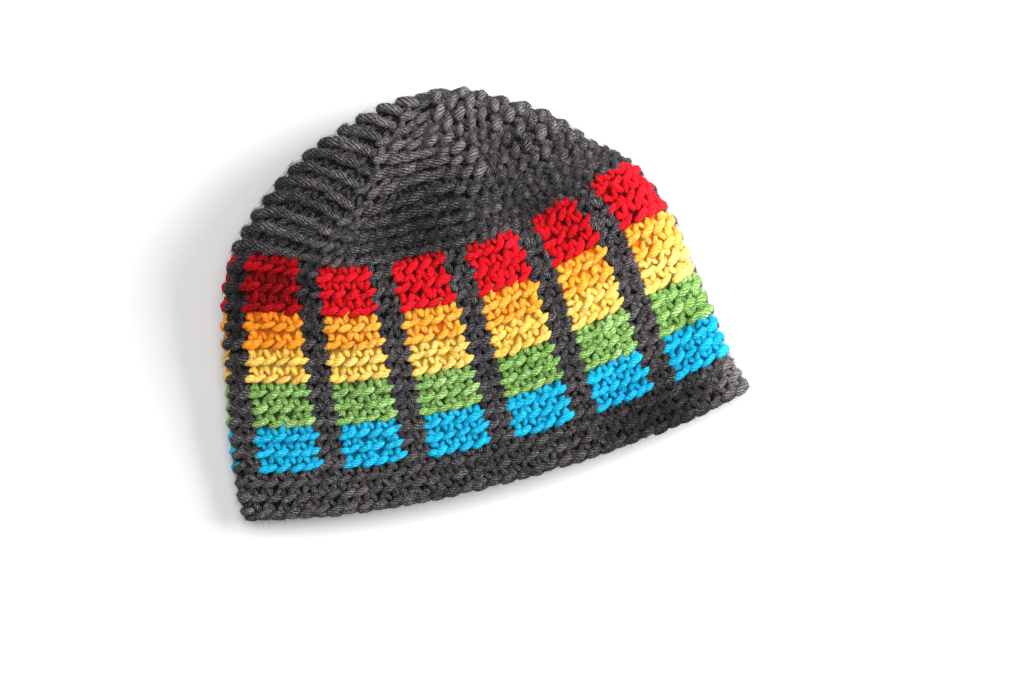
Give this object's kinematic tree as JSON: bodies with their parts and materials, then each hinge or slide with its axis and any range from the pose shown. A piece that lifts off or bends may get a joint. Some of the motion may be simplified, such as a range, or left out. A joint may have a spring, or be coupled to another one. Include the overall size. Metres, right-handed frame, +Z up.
{
  "type": "crochet hat",
  "caption": "Soft crocheted beanie lying flat: faceted crown, narrow plain ribs between columns of stacked colour blocks, and a plain brim.",
  "frame": {"origin": "on the table under the middle of the lying hat's bounding box", "axes": "+Z up from the table, +Y from the brim towards the crown, +X across the hat from the left side fold to the right one"},
  "size_m": [0.2478, 0.1871, 0.0588],
  "materials": {
    "grey_yarn": "charcoal plied yarn, matte with a soft sheen",
    "red_yarn": "red plied yarn, matte with a soft sheen",
    "orange_yarn": "orange plied yarn, matte with a soft sheen",
    "yellow_yarn": "golden yellow plied yarn, matte with a soft sheen",
    "green_yarn": "leaf green plied yarn, matte with a soft sheen",
    "blue_yarn": "bright blue plied yarn, matte with a soft sheen"
  },
  "bodies": {
    "root": {"crown": "grey_yarn", "side_web": "grey_yarn", "red_band": "red_yarn", "orange_band": "orange_yarn", "yellow_band": "yellow_yarn", "green_band": "green_yarn", "blue_band": "blue_yarn", "brim_band": "grey_yarn"}
  },
  "joints": []
}
